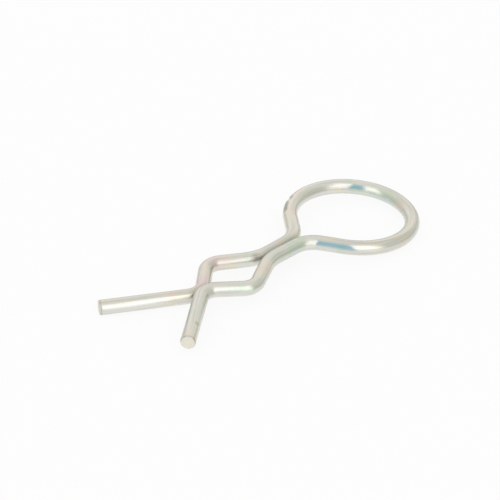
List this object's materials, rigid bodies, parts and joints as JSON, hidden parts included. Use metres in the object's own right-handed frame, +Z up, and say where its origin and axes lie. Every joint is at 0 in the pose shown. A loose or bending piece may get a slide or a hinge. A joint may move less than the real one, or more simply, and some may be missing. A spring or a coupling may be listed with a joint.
{
  "type": "hitch pin clip",
  "caption": "Spring clip bent from one round wire: a round eye, two legs with a bulge that grips a hitch pin, and splayed tips. Zinc plated steel.",
  "frame": {"origin": "on the floor, under the middle of the clip's box as it lies at rest", "axes": "+X along the clip from the tips to the eye, +Y towards the far leg, +Z up from the floor"},
  "size_m": [0.0722, 0.0276, 0.0051],
  "materials": {
    "zinc_plated_steel": "drawn spring-steel wire, bright zinc plate with a clear passivate"
  },
  "bodies": {
    "root": {"wire_clip": "zinc_plated_steel"}
  },
  "joints": []
}
